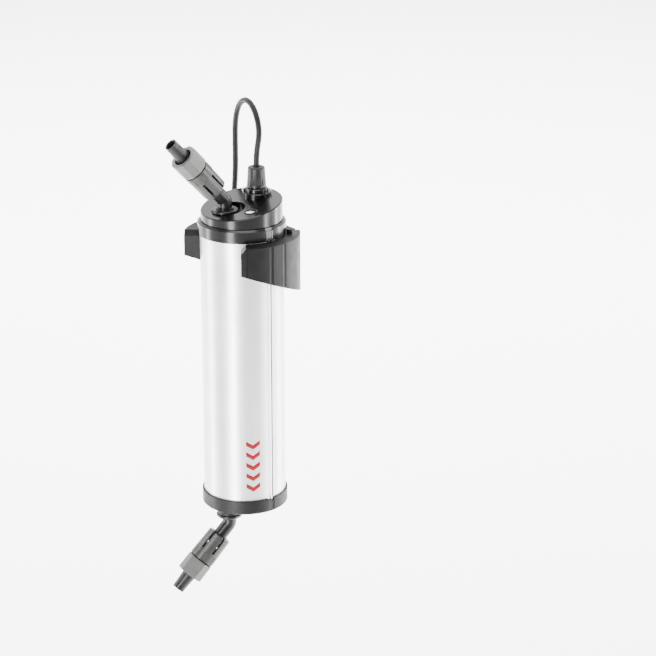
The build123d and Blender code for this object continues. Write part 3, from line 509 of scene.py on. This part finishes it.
class CLARIFIER_OT_bracket(bpy.types.Operator):
    """Finish the wall bracket and its pegs"""

    bl_idname = "clarifier.bracket"
    bl_label = "Bracket"

    def execute(self, context):
        plastic = moulded("bracket_polypropylene", "#09090a", "#0e0e0f", 0.46, 0.45, 0.012, 0.2)
        dress("bracket_cradle", plastic)
        dress("bracket_pegs", plastic)
        return {"FINISHED"}


class CLARIFIER_OT_head(bpy.types.Operator):
    """Finish the head, its window, the locking ring and the latch"""

    bl_idname = "clarifier.head"
    bl_label = "Head"

    def execute(self, context):
        gloss = moulded("gloss_abs", "#060606", "#0a0a0a", 0.22, 1.8, 0.002, 0.4)
        for node in ("head_base", "head_cover", "locking_ring", "gland_base"):
            dress(node, gloss)
        satin = moulded("ring_abs", "#0a0a0a", "#101010", 0.3, 0.5, 0.01)
        for node in ("window_bezel", "sleeve_nut", "sleeve_spider"):
            dress(node, satin)
        # painted highlight: the latch is a lighter grey than the black gloss round it, standing for the
        # light its ribs and tab catch
        dress("latch_button", moulded("latch_highlight_grey", "#262626", "#303030", 0.24, 0.5, 0.006))
        dress("window_lens", opal_window())
        dress("gland_nut", moulded("gland_polyamide", "#101010", "#171717", 0.42, 0.5, 0.012, 0.4))
        dress("gland_screws", polished_steel())
        return {"FINISHED"}


class CLARIFIER_OT_lamp(bpy.types.Operator):
    """Finish the lamp, its sleeve and the ballast inside the housing"""

    bl_idname = "clarifier.lamp"
    bl_label = "Lamp unit"

    def execute(self, context):
        dress("quartz_sleeve", fused_quartz())
        dress("lamp_tubes", lamp_glass())
        ceramic = moulded("white_pbt", "#d9d6cc", "#e6e3da", 0.4, 0.5, 0.01)
        for node in ("lamp_base", "lamp_socket"):
            dress(node, ceramic)
        dress("lamp_pins", turned_brass())
        dress("ballast_board", circuit_board())
        dress("ballast_parts", moulded("potting_resin", "#15151b", "#202028", 0.4, 0.8, 0.02))
        dress("board_screws", bpy.data.materials["stainless_steel"])
        dress("lamp_leads", moulded("silicone_wire", "#d8d2c2", "#e2ddcf", 0.45, 0.8, 0.01))
        return {"FINISHED"}


class CLARIFIER_OT_hose_ends(bpy.types.Operator):
    """Finish the two swivelling elbows and their hose couplings"""

    bl_idname = "clarifier.hose_ends"
    bl_label = "Hose ends"

    def execute(self, context):
        finishes = {
            "elbow": moulded("elbow_abs", "#080808", "#0c0c0c", 0.36, 0.5, 0.01, 0.35),
            "shaft_o_ring": bpy.data.materials["nitrile_rubber"],
            "coupling_o_ring": bpy.data.materials["nitrile_rubber"],
            "retaining_clip": bpy.data.materials["stainless_steel"],
            "collet_sleeve": moulded("collet_polypropylene", "#2c2c2b", "#353533", 0.34, 0.5, 0.012, 0.4),
            "union_nut": moulded("nut_polypropylene", "#4c4c4a", "#565653", 0.36, 0.5, 0.012),
            "nozzle": moulded("nozzle_polypropylene", "#111214", "#18191b", 0.36, 0.5, 0.012, 0.35),
        }
        for end in ("inlet", "outlet"):
            for piece, material in finishes.items():
                dress(f"{end}_{piece}", material)
        return {"FINISHED"}


class CLARIFIER_OT_lead(bpy.types.Operator):
    """Lay the mains lead: free stretch, tied hank and plug"""

    bl_idname = "clarifier.lead"
    bl_label = "Mains lead"

    def hank_points(self, pitch):
        """The turns of the hank.

        They lie in a layer on each side of the middle one, by which the lead comes in and goes out.
        Each fold is (layer, ring), and ring 1 is the outer one.
        """
        low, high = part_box("cord_hank")
        centre = (low + high) / 2
        half_run, fold_radius, fold_steps = 0.0332, 0.0186, 8
        mouth = ((-0.0022, 0.0530), (-0.0120, 0.0430), (-0.0225, 0.0340))
        folds = [(1, 1), (1, 0), (-1, 0), (-1, 1)]

        def place(ring, layer, angle, side):
            """A point on a fold: angle from the right, side +1 for the top fold."""
            radius = fold_radius + ring * pitch
            height = side * half_run + radius * sin(angle)
            return centre + Vector((radius * cos(angle), layer * pitch, height))

        def left(ring, layer, share):
            """A point on the left-hand run, share of the way down."""
            return centre + Vector((-fold_radius - ring * pitch, layer * pitch, half_run * (1 - 2 * share)))

        # down from the top in the middle layer, swinging out to the left-hand run
        points = [centre + Vector((x, 0, z)) for x, z in mouth]
        # each left-hand run between two folds, as steps of (ring, layer, share of the way down)
        runs = [
            [(1, 0.0, 0.18), (1, 0.1, 0.38), (1, 0.5, 0.5), (1, 0.9, 0.62), (1, 1.0, 0.85)],
            [(0.9, 1.0, 0.05), (0.5, 1.0, 0.2), (0.1, 1.0, 0.34), (0, 1.0, 0.6), (0, 1.0, 0.9)],
            [
                (0, 0.85, 0.06),
                (0, 0.45, 0.2),
                (0, 0.05, 0.36),
                (0, 0.0, 0.55),
                (0, -0.4, 0.78),
                (0, -0.95, 0.96),
            ],
            [(0, -1.0, 0.1), (0, -1.0, 0.4), (0.15, -1.0, 0.6), (0.6, -1.0, 0.74), (0.95, -1.0, 0.9)],
            [(1, -1.0, 0.1), (1, -0.95, 0.34), (1, -0.5, 0.5), (1, -0.05, 0.66), (1, 0.0, 0.82)],
        ]
        for turn, way_down in enumerate(runs):
            points += [left(*step) for step in way_down]
            if turn < len(folds):
                layer, ring = folds[turn]
                angles = [pi * step / fold_steps for step in range(fold_steps + 1)]
                points += [place(ring, layer, pi + angle, -1) for angle in angles]
                points += [centre + Vector((fold_radius + ring * pitch, layer * pitch, 0))]
                points += [place(ring, layer, angle, 1) for angle in angles]
        return points + [centre + Vector((x, 0, -z)) for x, z in reversed(mouth)]

    def execute(self, context):
        sizes = context.scene.clarifier_sizes
        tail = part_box("cord_tail")
        end = (tail[0] + tail[1]) / 2
        route = [Vector(p) for p in LEAD_ROUTE] + self.hank_points(sizes.hank_pitch)
        above_plug, into_relief = -0.165, 0.004
        route += [Vector((end.x, end.y, z)) for z in (above_plug, tail[0].z - into_relief)]
        curve = bpy.data.curves.new("mains_lead", "CURVE")
        curve.dimensions = "3D"
        curve.bevel_depth = sizes.lead_diameter / 2
        curve.bevel_resolution = 5
        curve.resolution_u = 6
        curve.use_fill_caps = True
        spline = curve.splines.new("NURBS")
        spline.points.add(len(route) - 1)
        for point, place in zip(spline.points, route):
            point.co = (*place, 1.0)
        spline.order_u = 3
        spline.use_endpoint_u = True
        curve.materials.append(pvc_sheath())
        lead = bpy.data.objects.new("mains_lead", curve)
        context.scene.collection.objects.link(lead)
        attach(lead, "housing")
        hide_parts("power_cord", "cord_hank", "cord_tail")
        dress("cord_tie", woven_strap())
        dress("plug_strain_relief", bpy.data.materials["pvc_sheath"])
        dress("plug_body", moulded("plug_pvc", "#161616", "#1e1e1e", 0.4, 0.5, 0.015))
        dress("plug_pins", bpy.data.materials["turned_brass"])
        return {"FINISHED"}


class CLARIFIER_OT_stage(bpy.types.Operator):
    """Lay the floor, hang the lights and set the camera"""

    bl_idname = "clarifier.stage"
    bl_label = "Stage"

    def light(self, name, place, aim, size, power, mirrored=True):
        """Hangs an area light that faces a point, seen or unseen in glossy reflections."""
        lamp = bpy.data.lights.new(name, "AREA")
        lamp.shape = "RECTANGLE"
        lamp.size, lamp.size_y = size
        lamp.energy = power
        obj = bpy.data.objects.new(name, lamp)
        obj.location = place
        obj.rotation_euler = (Vector(aim) - Vector(place)).to_track_quat("-Z", "Y").to_euler()
        obj.visible_glossy = mirrored
        bpy.context.scene.collection.objects.link(obj)

    def surroundings(self, scene, front):
        """A room that is white behind the object and dim behind the camera."""
        world = bpy.data.worlds.new("studio")
        world.use_nodes = True
        tree = world.node_tree
        direction = add_node(tree, "ShaderNodeTexCoord").outputs["Generated"]
        facing = add_node(
            tree, "ShaderNodeVectorMath", {"operation": "DOT_PRODUCT", 1: tuple(front)}, i0=direction
        ).outputs["Value"]
        strength = spread(tree, facing, 3.0, 0.25, -0.5, 0.3)
        background = tree.nodes["Background"]
        background.inputs["Color"].default_value = linear("#f6f7f8")
        tree.links.new(strength, background.inputs["Strength"])
        scene.world = world

    def execute(self, context):
        scene = context.scene
        settings = scene.clarifier_stage
        bm = bmesh.new()
        bmesh.ops.create_grid(bm, x_segments=1, y_segments=1, size=FLOOR_HALF_SIZE)
        bmesh.ops.translate(bm, verts=bm.verts, vec=(0, 0, CAD_BOX[0].z - FLOOR_DROP))
        mesh = bpy.data.meshes.new("studio_floor")
        bm.to_mesh(mesh)
        bm.free()
        paper, _, bsdf = new_material("studio_paper", Roughness=0.9)
        bsdf.inputs["Base Color"].default_value = scene.clarifier_colours.floor
        mesh.materials.append(paper)
        floor = bpy.data.objects.new("studio_floor", mesh)
        scene.collection.objects.link(floor)

        azimuth, elevation = settings.azimuth, settings.elevation
        right = Vector((cos(azimuth), sin(azimuth), 0))
        front = Vector((sin(azimuth), -cos(azimuth), 0))
        up = Vector((0, 0, 1))
        self.surroundings(scene, front)
        for name, turn, width, power in STRIPS:
            towards = front * cos(turn) + right * sin(turn)
            place = towards * STRIP_DISTANCE + up * STRIP_HEIGHT
            self.light(name, place, (0, -0.05, -0.1), (width, STRIP_LENGTH), power)
        self.light("overhead", front * 0.4 + up * 2.0, (0, -0.05, 0), (1.6, 1.6), 40)
        # whitens the floor behind the object, and is kept out of the head's sloped top
        wash_place, wash_aim = up * 3.0 - front * 4.4, up * -1.3 - front * 5.4
        self.light("floor wash", wash_place, wash_aim, (8.0, 6.0), 3000, mirrored=False)

        aim = HOUSING_AXIS + right * settings.aside + up * settings.aim_height
        away = front * cos(elevation) + up * sin(elevation)
        camera = bpy.data.cameras.new("camera")
        camera.lens = settings.lens
        camera.sensor_width = 36.0
        camera.clip_start, camera.clip_end = 0.05, 60.0
        obj = bpy.data.objects.new("camera", camera)
        obj.location = aim + away * settings.distance
        obj.rotation_euler = (-away).to_track_quat("-Z", "Y").to_euler()
        scene.collection.objects.link(obj)
        scene.camera = obj
        return {"FINISHED"}


OPERATORS = (
    CLARIFIER_OT_stage,
    CLARIFIER_OT_housing,
    CLARIFIER_OT_slit_shade_bead,
    CLARIFIER_OT_flow_marks,
    CLARIFIER_OT_bracket,
    CLARIFIER_OT_head,
    CLARIFIER_OT_lamp,
    CLARIFIER_OT_hose_ends,
    CLARIFIER_OT_lead,
)


class CLARIFIER_PT_pieces(bpy.types.Panel):
    """Lists the clarifier's operators"""

    bl_label = "UV Clarifier"
    bl_idname = "CLARIFIER_PT_pieces"
    bl_space_type = "VIEW_3D"
    bl_region_type = "UI"
    bl_category = "Clarifier"

    def draw(self, context):
        for operator in OPERATORS:
            self.layout.operator(operator.bl_idname)


GROUPS = {
    "clarifier_sizes": CLARIFIER_PG_sizes,
    "clarifier_colours": CLARIFIER_PG_colours,
    "clarifier_stage": CLARIFIER_PG_stage,
}
CLASSES = (*GROUPS.values(), *OPERATORS, CLARIFIER_PT_pieces)


def register():
    for cls in CLASSES:
        bpy.utils.register_class(cls)
    for name, group in GROUPS.items():
        setattr(bpy.types.Scene, name, PointerProperty(type=group))


def unregister():
    for name in GROUPS:
        delattr(bpy.types.Scene, name)
    for cls in reversed(CLASSES):
        bpy.utils.unregister_class(cls)


def main():
    register()
    for operator in OPERATORS:
        family, verb = operator.bl_idname.split(".")
        getattr(getattr(bpy.ops, family), verb)()


if __name__ == "__main__":
    main()
